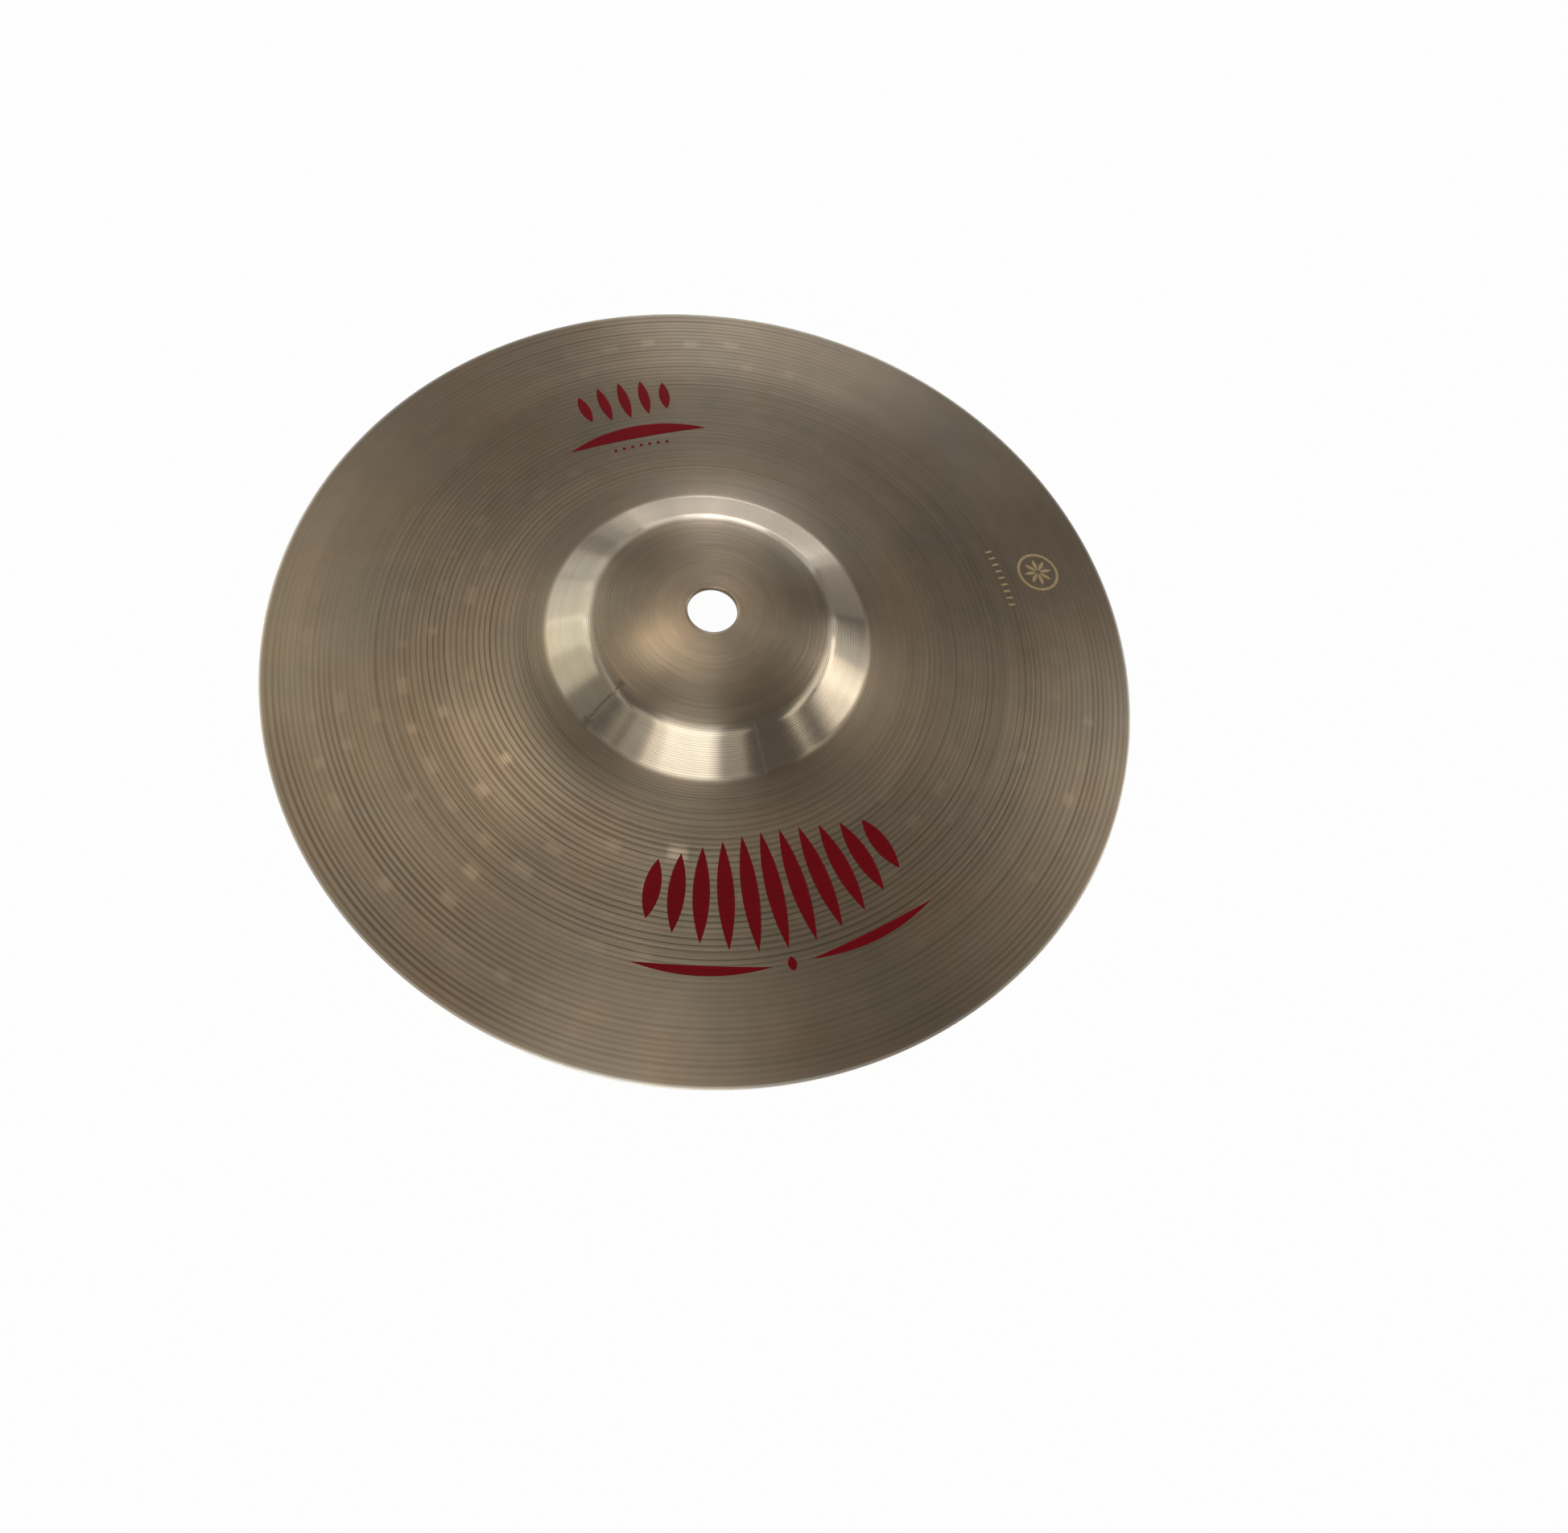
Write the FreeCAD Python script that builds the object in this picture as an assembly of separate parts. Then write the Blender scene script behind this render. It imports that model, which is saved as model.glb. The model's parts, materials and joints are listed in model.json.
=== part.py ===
import FreeCAD, Part

import math
import os

from FreeCAD import Vector

# A splash cymbal: one disc of bronze with a flattened bell, and the thin prints that lie on it.
# Lengths are millimetres and angles degrees. The axis of the disc is Z, the rim's underside lies in
# the plane Z = 0, and the large print on the bow faces -Y.

# The disc, across
overall_diameter = 228.6
hole_diameter = 12.7
shoulder_diameter = 62.8
foot_diameter = 84.0
skirt_diameter = 100.0

# The disc, upwards from the rim's underside to the top surface
crown_height = 22.8
shoulder_height = 18.05
foot_height = 11.55
skirt_height = 8.8

# How far the crown and the bow stand out from straight lines
crown_bulge_height = 0.8
bow_bulge_height = 0.4

# Rounds of the top surface, and of the rim's two corners
shoulder_round = 13.0
foot_round = 8.0
skirt_round = 45.0
edge_round = 0.15

# The wall: thickest where the bell is pressed, thinnest at the rim
bell_thickness = 1.0
bow_thickness = 0.8
edge_thickness = 0.6

# The ink of every print
ink_thickness = 0.1

# The large print at the front: a fan of leaf-shaped rays over two long thin arcs and a lozenge.
# The place of a print is a share of the way from the bell's foot to the rim. A pitch is measured
# along the ring that the repeated shapes stand on.
front_angle = 270.0
front_place_share = 0.380
front_ray_count = 11
front_ray_pitch = 5.95
front_ray_length = 29.0
front_ray_width = 4.2
front_ray_shortest_share = 0.34
front_arc_gap = 2.3
front_arc_length = 34.0
front_arc_width = 2.4
front_lozenge_length = 3.4
front_lozenge_width = 2.2
front_lozenge_gap = 3.8

# The small print at the rear: an arc, with a short fan on its rim side and dots on its bell side
rear_angle = 93.0
rear_place_share = 0.364
rear_arc_length = 39.4
rear_arc_width = 4.4
rear_ray_count = 5
rear_ray_pitch = 5.8
rear_ray_length = 14.0
rear_ray_width = 3.0
rear_ray_gap = 3.2
rear_ray_shortest_share = 0.45
rear_dot_count = 7
rear_dot_pitch = 2.45
rear_dot_diameter = 0.9
rear_dot_gap = 2.3

# The stamp near the rim: a ring round a small star of leaves, with a row of ticks on its bell side
stamp_angle = 3.5
stamp_place_share = 0.749
seal_diameter = 12.0
seal_line_width = 0.8
seal_leaf_count = 8
seal_leaf_length = 3.6
seal_leaf_width = 1.1
seal_leaf_gap = 0.5
tick_count = 9
tick_pitch = 2.15
tick_length = 2.4
tick_width = 0.7
tick_gap = 4.2

AXIS = Vector(0, 0, 1)
CENTRE = Vector(0, 0, 0)
FULL_TURN = 360.0

rim_radius = overall_diameter / 2
foot_radius = foot_diameter / 2


def station(diameter, height):
    """A point of the profile, which is drawn in the XZ plane."""
    return Vector(diameter / 2, 0, height)


def bowed(start, end, bulge):
    """An arc between two points of the profile, standing up from its chord by the bulge."""
    chord = end - start
    up = Vector(-chord.z, 0, chord.x).normalize()
    middle = (start + end) / 2 + up * bulge
    return Part.Arc(start, middle, end).toShape()


def straight(start, end):
    """A straight edge between two points."""
    return Part.LineSegment(start, end).toShape()


def rounded(first, second, corner, radius):
    """Two edges of the profile that meet in a corner, and the round between them."""
    plane = Part.Plane(CENTRE, Vector(0, 1, 0))
    tool = Part.ChFi2d.FilletAPI(Part.Wire([first, second]), plane)
    if not tool.perform(radius):
        raise ValueError("the corner is too short for a round of %s mm" % radius)
    curve, first_rest, second_rest = tool.result(corner)
    return first_rest, curve, second_rest


def below(before, corner, after, thickness):
    """The corner of the underside that lies one wall thickness below a corner of the top."""
    arriving = (corner - before).normalize()
    leaving = (after - corner).normalize()
    along = (arriving + leaving).normalize()
    downwards = Vector(along.z, 0, -along.x)
    return corner + downwards * (thickness / arriving.dot(along))


def surface(corners, rounds):
    """The edges of one side of the disc, from the hole out to the rim, with its corners rounded."""
    hole_edge, shoulder, foot, skirt, rim = corners
    crown = bowed(hole_edge, shoulder, crown_bulge_height)
    flank = straight(shoulder, foot)
    fall = straight(foot, skirt)
    bow = bowed(skirt, rim, bow_bulge_height)
    crown, shoulder_curve, flank = rounded(crown, flank, shoulder, rounds[0])
    flank, foot_curve, fall = rounded(flank, fall, foot, rounds[1])
    fall, skirt_curve, bow = rounded(fall, bow, skirt, rounds[2])
    return [crown, shoulder_curve, flank, foot_curve, fall, skirt_curve, bow]


# The corners of the top surface, before they are rounded
hole_edge = station(hole_diameter, crown_height)
shoulder = station(shoulder_diameter, shoulder_height)
foot = station(foot_diameter, foot_height)
skirt = station(skirt_diameter, skirt_height)
rim = station(overall_diameter, edge_thickness)


def top_surface():
    """The edges of the top surface, from the hole out to the rim."""
    return surface((hole_edge, shoulder, foot, skirt, rim), (shoulder_round, foot_round, skirt_round))


def underside():
    """The edges of the underside, which follows the top at the thickness of the wall."""
    corners = (
        hole_edge - AXIS * bell_thickness,
        below(hole_edge, shoulder, foot, bell_thickness),
        below(shoulder, foot, skirt, bow_thickness),
        below(foot, skirt, rim, bow_thickness),
        rim - AXIS * edge_thickness,
    )
    rounds = (shoulder_round - bell_thickness, foot_round + bow_thickness, skirt_round + bow_thickness)
    return surface(corners, rounds)


def revolved(edges):
    """The solid that a closed outline in the XZ plane sweeps in a full turn."""
    outline = Part.Face(Part.Wire(Part.__sortEdges__(edges)))
    return outline.revolve(CENTRE, AXIS, FULL_TURN)


def cymbal_disc():
    """The bronze, in one piece from the edge of the hole to the rim."""
    top = top_surface()
    under = underside()
    rim_below = rim - AXIS * edge_thickness
    hole_wall = straight(hole_edge - AXIS * bell_thickness, hole_edge)
    bow, top_round, rim_wall = rounded(top.pop(), straight(rim, rim_below), rim, edge_round)
    rim_wall = straight(rim_below, rim_wall.firstVertex().Point)
    bow_below, under_round, rim_wall = rounded(under.pop(), rim_wall, rim_below, edge_round)
    return revolved([hole_wall] + top + [bow, top_round, rim_wall, under_round, bow_below] + under)


def ink_coat():
    """A coat of ink all over the top surface, from which the prints are cut."""
    under = top_surface()
    lift = AXIS * ink_thickness
    over = [edge.translated(lift) for edge in under]
    inner_end = straight(hole_edge, hole_edge + lift)
    outer_end = straight(rim, rim + lift)
    return revolved(under + over + [inner_end, outer_end])


def place(radius, angle):
    """A point of the plan, seen from above."""
    turn = math.radians(angle)
    return Vector(radius * math.cos(turn), radius * math.sin(turn), 0)


def bow_radius(share):
    """The radius of a ring that lies this share of the way from the bell's foot to the rim."""
    return foot_radius + share * (rim_radius - foot_radius)


def leaf(start, end, left_bulge, right_bulge):
    """A pointed shape between two arcs that share their ends, each bulging from the chord."""
    chord = end - start
    left = Vector(-chord.y, chord.x, 0).normalize()
    middle = (start + end) / 2
    left_side = Part.Arc(start, middle + left * left_bulge, end).toShape()
    right_side = Part.Arc(end, middle - left * right_bulge, start).toShape()
    return Part.Face(Part.Wire([left_side, right_side]))


def span_angle(length, radius):
    """The angle that a length along a ring takes up, seen from the disc's axis."""
    return math.degrees(length / radius)


def row_angles(centre_angle, radius, count, pitch):
    """The angles of shapes that stand a pitch apart along a ring, about a centre angle."""
    first = centre_angle - span_angle(pitch, radius) * (count - 1) / 2
    return [first + number * span_angle(pitch, radius) for number in range(count)]


def ray(radius, angle, length, width):
    """A leaf that points away from the disc's axis."""
    start = place(radius - length / 2, angle)
    end = place(radius + length / 2, angle)
    return leaf(start, end, width / 2, width / 2)


def arc_line(radius, centre_angle, length, width):
    """A line round the disc's axis that swells to its width and ends in two points."""
    half_angle = span_angle(length, radius) / 2
    sagitta = radius * (1 - math.cos(math.radians(half_angle)))
    start = place(radius, centre_angle - half_angle)
    end = place(radius, centre_angle + half_angle)
    return leaf(start, end, width / 2 - sagitta, width / 2 + sagitta)


def round_dot(centre, diameter):
    """A round face."""
    edge = Part.makeCircle(diameter / 2, centre, AXIS)
    return Part.Face(Part.Wire(edge))


def fan(centre_angle, radius, count, pitch, length, width, shortest_share):
    """Rays side by side, the longest in the middle and the others shorter by a cosine."""
    rays = []
    middle = (count - 1) / 2
    for number, angle in enumerate(row_angles(centre_angle, radius, count, pitch)):
        swing = math.cos(math.pi / 2 * (number - middle) / (middle + 1))
        ray_length = length * (shortest_share + (1 - shortest_share) * swing)
        rays.append(ray(radius, angle, ray_length, width))
    return rays


front_radius = bow_radius(front_place_share)
rear_radius = bow_radius(rear_place_share)
stamp_radius = bow_radius(stamp_place_share)


def front_print_rays():
    """The plan of the large fan at the front."""
    return fan(front_angle, front_radius, front_ray_count, front_ray_pitch,
               front_ray_length, front_ray_width, front_ray_shortest_share)


def front_print_arcs():
    """The plan of the two arcs on the rim side of the large fan, with a lozenge between them."""
    radius = front_radius + (front_ray_length + front_arc_width) / 2 + front_arc_gap
    lozenge = ray(radius, front_angle, front_lozenge_length, front_lozenge_width)
    middle = front_lozenge_width / 2 + front_lozenge_gap + front_arc_length / 2
    turn = span_angle(middle, radius)
    left = arc_line(radius, front_angle - turn, front_arc_length, front_arc_width)
    right = arc_line(radius, front_angle + turn, front_arc_length, front_arc_width)
    return [left, lozenge, right]


def rear_print_rays():
    """The plan of the small fan at the rear."""
    radius = rear_radius + (rear_arc_width + rear_ray_length) / 2 + rear_ray_gap
    return fan(rear_angle, radius, rear_ray_count, rear_ray_pitch,
               rear_ray_length, rear_ray_width, rear_ray_shortest_share)


def rear_print_arcs():
    """The plan of the arc at the rear and the row of dots on its bell side."""
    shapes = [arc_line(rear_radius, rear_angle, rear_arc_length, rear_arc_width)]
    radius = rear_radius - (rear_arc_width + rear_dot_diameter) / 2 - rear_dot_gap
    for angle in row_angles(rear_angle, radius, rear_dot_count, rear_dot_pitch):
        shapes.append(round_dot(place(radius, angle), rear_dot_diameter))
    return shapes


def edge_stamp_seal():
    """The plan of the round stamp: a ring with a star of leaves in it."""
    centre = place(stamp_radius, stamp_angle)
    ring = round_dot(centre, seal_diameter).cut(round_dot(centre, seal_diameter - 2 * seal_line_width))
    shapes = [ring]
    for number in range(seal_leaf_count):
        angle = stamp_angle + number * FULL_TURN / seal_leaf_count
        inner = centre + place(seal_leaf_gap, angle)
        outer = centre + place(seal_leaf_gap + seal_leaf_length, angle)
        shapes.append(leaf(inner, outer, seal_leaf_width / 2, seal_leaf_width / 2))
    return shapes


def edge_stamp_ticks():
    """The plan of the row of ticks on the bell's side of the stamp."""
    radius = stamp_radius - (seal_diameter + tick_length) / 2 - tick_gap
    return [ray(radius, angle, tick_length, tick_width)
            for angle in row_angles(stamp_angle, radius, tick_count, tick_pitch)]


def printed(shapes, coat):
    """The films of ink whose plan is given, lying on the top surface."""
    depth = AXIS * (crown_height + ink_thickness)
    columns = Part.Compound([shape.extrude(depth) for shape in shapes])
    return Part.Compound(coat.common(columns).Solids)


def save(name, shape):
    """Writes one node and says how many solids it holds."""
    shape.exportStep(os.path.join("parts", name + ".step"))
    print("%s: %d solids, %.2f mm3" % (name, len(shape.Solids), shape.Volume))


os.makedirs("parts", exist_ok=True)
save("cymbal_disc", cymbal_disc())
coat = ink_coat()
save("front_print_rays", printed(front_print_rays(), coat))
save("front_print_arcs", printed(front_print_arcs(), coat))
save("rear_print_rays", printed(rear_print_rays(), coat))
save("rear_print_arcs", printed(rear_print_arcs(), coat))
save("edge_stamp_seal", printed(edge_stamp_seal(), coat))
save("edge_stamp_ticks", printed(edge_stamp_ticks(), coat))
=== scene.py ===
import json
import math

import bpy
from bpy.props import FloatProperty, FloatVectorProperty, IntProperty, PointerProperty
from mathutils import Matrix, Vector


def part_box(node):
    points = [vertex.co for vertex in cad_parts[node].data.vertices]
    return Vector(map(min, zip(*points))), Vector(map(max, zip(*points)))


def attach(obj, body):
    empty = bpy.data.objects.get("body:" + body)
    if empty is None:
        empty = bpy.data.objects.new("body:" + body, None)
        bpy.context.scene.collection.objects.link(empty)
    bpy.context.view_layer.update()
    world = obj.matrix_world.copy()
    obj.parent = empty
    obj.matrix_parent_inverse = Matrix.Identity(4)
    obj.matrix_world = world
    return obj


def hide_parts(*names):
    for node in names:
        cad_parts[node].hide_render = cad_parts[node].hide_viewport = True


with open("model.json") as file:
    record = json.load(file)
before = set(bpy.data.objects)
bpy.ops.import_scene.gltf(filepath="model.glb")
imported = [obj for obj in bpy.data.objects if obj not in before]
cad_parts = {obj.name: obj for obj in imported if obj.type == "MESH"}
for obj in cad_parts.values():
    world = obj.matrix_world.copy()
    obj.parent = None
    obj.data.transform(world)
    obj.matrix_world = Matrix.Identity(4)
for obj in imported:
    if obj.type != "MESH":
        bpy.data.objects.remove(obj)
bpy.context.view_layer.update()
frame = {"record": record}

bl_info = {
    "name": "Splash cymbal",
    "version": (1, 0, 0),
    "blender": (4, 5, 0),
    "location": "View3D > Sidebar > Cymbal",
    "description": "Dresses a thin bronze splash cymbal: lathed metal, hammer marks, prints and a stage",
    "category": "Object",
}

MM = 0.001
TURN = 2 * math.pi

# What the frame says of the cymbal
DISC_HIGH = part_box("cymbal_disc")[1]
HOLE = frame["record"]["mounts"][0]["dims"]
RIM_RADIUS = DISC_HIGH.x
CROWN_HEIGHT = DISC_HIGH.z
HOLE_RADIUS = HOLE["r_mm"] * MM
BELL_THICKNESS = HOLE["length_mm"] * MM

# The height of a ring of hammer marks, as a share of their spacing, and how many rings there are
HAMMER_RING_SHARE = 0.667
HAMMER_RINGS = 6

# Where the grooves of the bow change into those of the rim
RIM_ZONE = (0.086, 0.094)

# How deep a coat of ink is sunk into the bronze, as a share of its height above it
INK_SINK = 0.4

# A height above the whole disc, from which the ink is dropped onto it
ABOVE_DISC = 0.05

# Steps of the mesh across the crown, the shoulder, the flank, the foot and the fall below it,
# across each groove of the bow, and across the underside
BELL_STEPS = (0.8 * MM, 0.25 * MM, 0.9 * MM, 0.25 * MM, 0.6 * MM)
STEPS_IN_GROOVE = 5
UNDERSIDE_STEP = 1.6 * MM

# The photograph's width and middle in pixels, and the point that its camera's axis meets
PHOTO_WIDTH = 1948
PHOTO_MIDDLE = Vector((974, 952))
AXIS_POINT = Vector((874.86, 810.03))

SENSOR_WIDTH = 36.0
FLOOR_REACH = 4
LAMP_DISTANCE = 1.5


def length_property(name, description, default):
    """A size in metres that the sidebar shows as a length."""
    return FloatProperty(name=name, description=description, default=default, unit="LENGTH", precision=5)


def colour_property(name, description, default):
    """A linear colour."""
    return FloatVectorProperty(name=name, description=description, default=default,
                               subtype="COLOR", size=3, min=0, max=1)


def angle_property(name, description, default):
    """An angle in radians that the sidebar shows in degrees."""
    return FloatProperty(name=name, description=description, default=default, subtype="ANGLE")


def share_property(name, description, default):
    """A share of another size."""
    return FloatProperty(name=name, description=description, default=default, min=0, max=1, subtype="FACTOR")


def count_property(name, description, default):
    """A number of like things."""
    return IntProperty(name=name, description=description, default=default)


class CymbalBronze(bpy.types.PropertyGroup):
    """Sizes and colours of the bronze."""

    shoulder_diameter: length_property(
        "Shoulder diameter", "Across the corner where the crown turns down into the flank", 0.0628)
    shoulder_height: length_property("Shoulder height", "Height of that corner", 0.01805)
    shoulder_round: length_property("Shoulder round", "Radius that rounds that corner", 0.013)
    foot_diameter: length_property("Foot diameter", "Across the corner where the flank ends", 0.084)
    foot_height: length_property("Foot height", "Height of that corner", 0.01155)
    foot_round: length_property("Foot round", "Radius that rounds that corner", 0.008)
    skirt_diameter: length_property(
        "Skirt diameter", "Across the corner where the fall below the flank meets the bow", 0.1)
    skirt_height: length_property("Skirt height", "Height of that corner", 0.0088)
    skirt_round: length_property("Skirt round", "Radius that rounds that corner", 0.045)
    crown_bulge: length_property("Crown bulge", "How far the crown stands out from a straight line", 0.0008)
    bow_bulge: length_property("Bow bulge", "How far the bow stands out from a straight line", 0.0004)
    bow_thickness: length_property("Bow thickness", "Wall at the bell's foot", 0.0008)
    edge_thickness: length_property("Edge thickness", "Wall at the rim", 0.0006)
    edge_round: length_property("Edge round", "Radius of the rim's two corners", 0.00015)
    groove_pitch: length_property("Groove pitch", "From one tonal groove of the bow to the next", 0.00145)
    flank_pitch: length_property("Flank pitch", "From one turned line of the flank to the next", 0.00049)
    hammer_spacing: length_property("Hammer spacing", "From one hammer mark to the next", 0.012)
    hammer_start: length_property("Hammer start", "Radius at which the first ring of marks begins", 0.058)
    segments: count_property("Segments", "Steps of the mesh round the disc", 240)
    colour: colour_property("Bronze", "Colour of the bow and the crown", (0.36, 0.295, 0.215))
    flank_colour: colour_property("Flank", "Colour of the bright flank", (0.385, 0.337, 0.265))
    # Only the rim takes this colour: the bronze's tones paint the hole's wall darker, as painted shade
    cut_colour: colour_property("Cut edges", "Colour of the bare metal in the hole and at the rim",
                                (0.80, 0.76, 0.68))


class CymbalInk(bpy.types.PropertyGroup):
    """The coats of ink."""

    film: length_property("Ink film", "How far the ink stands above the bronze", 0.000035)
    crimson_ink: colour_property("Crimson", "Colour of the large and the small print", (0.172, 0.0012, 0.005))
    golden_ink: colour_property("Gold", "Colour of the stamp", (0.385, 0.297, 0.16))


class CymbalFrontPrint(bpy.types.PropertyGroup):
    """Sizes of the large print on the near side."""

    angle: angle_property("Angle", "Where the print stands", math.radians(270))
    place: share_property("Place", "Of the way from the bell's foot to the rim", 0.380)
    rays: count_property("Rays", "Of the fan", 11)
    ray_pitch: length_property("Ray pitch", "Along the ring that the rays stand on", 0.00595)
    ray_length: length_property("Ray length", "Of the middle ray", 0.029)
    ray_width: length_property("Ray width", "Of each ray", 0.0042)
    ray_shortest: share_property("Shortest ray", "Of the middle ray's length", 0.34)
    arc_gap: length_property("Arc gap", "From the longest ray to the arcs", 0.0023)
    arc_length: length_property("Arc length", "Of each of the two arcs", 0.034)
    arc_width: length_property("Arc width", "At the middle of an arc", 0.0024)
    lozenge_length: length_property("Lozenge length", "Away from the axis", 0.0034)
    lozenge_width: length_property("Lozenge width", "Along the ring", 0.0022)
    lozenge_gap: length_property("Lozenge gap", "From the lozenge to an arc", 0.0038)


class CymbalRearPrint(bpy.types.PropertyGroup):
    """Sizes of the small print on the far side."""

    angle: angle_property("Angle", "Where the print stands", math.radians(93))
    place: share_property("Place", "Of the way from the bell's foot to the rim", 0.364)
    arc_length: length_property("Arc length", "Along its ring", 0.0394)
    arc_width: length_property("Arc width", "At its middle", 0.0044)
    rays: count_property("Rays", "Of the fan", 5)
    ray_pitch: length_property("Ray pitch", "Along the ring that the rays stand on", 0.0058)
    ray_length: length_property("Ray length", "Of the middle ray", 0.014)
    ray_width: length_property("Ray width", "Of each ray", 0.003)
    ray_gap: length_property("Ray gap", "From the arc to the longest ray", 0.0032)
    ray_shortest: share_property("Shortest ray", "Of the middle ray's length", 0.45)
    dots: count_property("Dots", "In the row below the arc", 7)
    dot_pitch: length_property("Dot pitch", "Along the row", 0.00245)
    dot_diameter: length_property("Dot diameter", "Of each dot", 0.0009)
    dot_gap: length_property("Dot gap", "From the arc to the dots", 0.0023)


class CymbalStamp(bpy.types.PropertyGroup):
    """Sizes of the stamp near the rim."""

    angle: angle_property("Angle", "Where the stamp stands", math.radians(3.5))
    place: share_property("Place", "Of the way from the bell's foot to the rim", 0.749)
    diameter: length_property("Diameter", "Of the round stamp", 0.012)
    line_width: length_property("Line width", "Of the ring", 0.0008)
    leaves: count_property("Leaves", "Of the star in the ring", 8)
    leaf_length: length_property("Leaf length", "Of each leaf", 0.0036)
    leaf_width: length_property("Leaf width", "Of each leaf", 0.0011)
    leaf_gap: length_property("Leaf gap", "From the star's middle to a leaf", 0.0005)
    ticks: count_property("Ticks", "In the row beside the stamp", 9)
    tick_pitch: length_property("Tick pitch", "Along the row", 0.00215)
    tick_length: length_property("Tick length", "Of each tick", 0.0024)
    tick_width: length_property("Tick width", "Of each tick", 0.0007)
    tick_gap: length_property("Tick gap", "From the ring to the ticks", 0.0042)


class CymbalStage(bpy.types.PropertyGroup):
    """The photograph's camera, fitted for an assumed focal length, and the plain studio."""

    photo_focal_pixels: FloatProperty(
        name="Focal length in pixels", description="Assumed for the photograph", default=2000.0)
    camera_distance: length_property("Camera distance", "From the middle of the rim", 0.42365)
    camera_azimuth: angle_property(
        "Camera azimuth", "Round the disc, from -Y towards -X", math.radians(23.5))
    camera_elevation: angle_property("Camera elevation", "Above the rim's plane", 1.06233)
    camera_roll: angle_property("Camera roll", "Turn about the line of sight", 0.196137)
    walls: colour_property("Walls", "What the bronze mirrors between the lamps", (0.185, 0.172, 0.164))


def circle_through(start, end, bulge):
    """Centre and radius of the arc between two points that rises above its chord by the bulge."""
    chord = end - start
    up = Vector((-chord.y, chord.x)).normalized()
    radius = (chord.length ** 2 / 4 + bulge ** 2) / (2 * bulge)
    return (start + end) / 2 + up * (bulge - radius), radius


def on_arc(centre, arc_radius):
    """Height over radius on a circle's upper side, or on its lower side for a negative radius."""
    def height(radius):
        rise = math.sqrt(max(arc_radius ** 2 - (radius - centre.x) ** 2, 0))
        return centre.y + math.copysign(rise, arc_radius)
    return height


def on_line(start, end):
    """Height over radius on the line through two points."""
    slope = (end.y - start.y) / (end.x - start.x)
    return lambda radius: start.y + (radius - start.x) * slope


def round_centre(beside, along, centre, distance):
    """The point on a line through a place that lies this far from a circle's centre, the near one."""
    apart = beside - centre
    half = apart.dot(along)
    root = math.sqrt(half ** 2 - apart.length_squared + distance ** 2)
    return beside + along * min((-half + root, -half - root), key=abs)


class Profile:
    """One side of the disc as height over radius: crown, shoulder, flank, foot, fall, skirt and bow."""

    def __init__(self, corners, bulges, rounds):
        hole_edge, shoulder, foot, skirt, rim = corners
        shoulder_round, foot_round, skirt_round = rounds
        crown_centre, crown_radius = circle_through(hole_edge, shoulder, bulges[0])
        bow_centre, bow_radius = circle_through(skirt, rim, bulges[1])
        flank, fall = (foot - shoulder).normalized(), (skirt - foot).normalized()
        over_flank, over_fall = Vector((-flank.y, flank.x)), Vector((-fall.y, fall.x))
        shoulder_centre = round_centre(shoulder - over_flank * shoulder_round, flank,
                                       crown_centre, crown_radius - shoulder_round)
        between = (over_flank + over_fall).normalized()
        foot_centre = foot + between * (foot_round / between.dot(over_fall))
        skirt_centre = round_centre(skirt + over_fall * skirt_round, fall,
                                    bow_centre, bow_radius + skirt_round)
        from_crown = (shoulder_centre - crown_centre).normalized()
        from_bow = (skirt_centre - bow_centre).normalized()
        self.start = hole_edge.x
        self.stretches = (
            (crown_centre.x + from_crown.x * crown_radius, on_arc(crown_centre, crown_radius)),
            (shoulder_centre.x + over_flank.x * shoulder_round, on_arc(shoulder_centre, shoulder_round)),
            (foot_centre.x - over_flank.x * foot_round, on_line(shoulder, foot)),
            (foot_centre.x - over_fall.x * foot_round, on_arc(foot_centre, -foot_round)),
            (skirt_centre.x - over_fall.x * skirt_round, on_line(foot, skirt)),
            (bow_centre.x + from_bow.x * bow_radius, on_arc(skirt_centre, -skirt_round)),
            (rim.x, on_arc(bow_centre, bow_radius)),
        )
        self.ends = [end for end, _ in self.stretches]

    def height(self, radius):
        """Height of the surface at this radius."""
        for end, stretch in self.stretches:
            if radius < end:
                break
        return stretch(radius)


def corner_below(before, corner, after, thickness):
    """The corner of the underside one wall thickness below a corner of the top."""
    arriving = (corner - before).normalized()
    along = (arriving + (after - corner).normalized()).normalized()
    return corner + Vector((along.y, -along.x)) * (thickness / arriving.dot(along))


def disc_profiles(bronze):
    """The top surface and the underside."""
    hole_edge = Vector((HOLE_RADIUS, CROWN_HEIGHT))
    shoulder = Vector((bronze.shoulder_diameter / 2, bronze.shoulder_height))
    foot = Vector((bronze.foot_diameter / 2, bronze.foot_height))
    skirt = Vector((bronze.skirt_diameter / 2, bronze.skirt_height))
    rim = Vector((RIM_RADIUS, bronze.edge_thickness))
    below = (
        hole_edge - Vector((0, BELL_THICKNESS)),
        corner_below(hole_edge, shoulder, foot, BELL_THICKNESS),
        corner_below(shoulder, foot, skirt, bronze.bow_thickness),
        corner_below(foot, skirt, rim, bronze.bow_thickness),
        Vector((RIM_RADIUS, 0)),
    )
    bulges = (bronze.crown_bulge, bronze.bow_bulge)
    rounds = (bronze.shoulder_round, bronze.foot_round, bronze.skirt_round)
    rounds_below = (rounds[0] - BELL_THICKNESS, rounds[1] + bronze.bow_thickness,
                    rounds[2] + bronze.bow_thickness)
    return (Profile((hole_edge, shoulder, foot, skirt, rim), bulges, rounds),
            Profile(below, bulges, rounds_below))


def even_steps(start, end, step):
    """Values from start to end, both included, about a step apart."""
    count = max(1, round(abs(end - start) / step))
    return [start + (end - start) * number / count for number in range(count + 1)]


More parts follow.
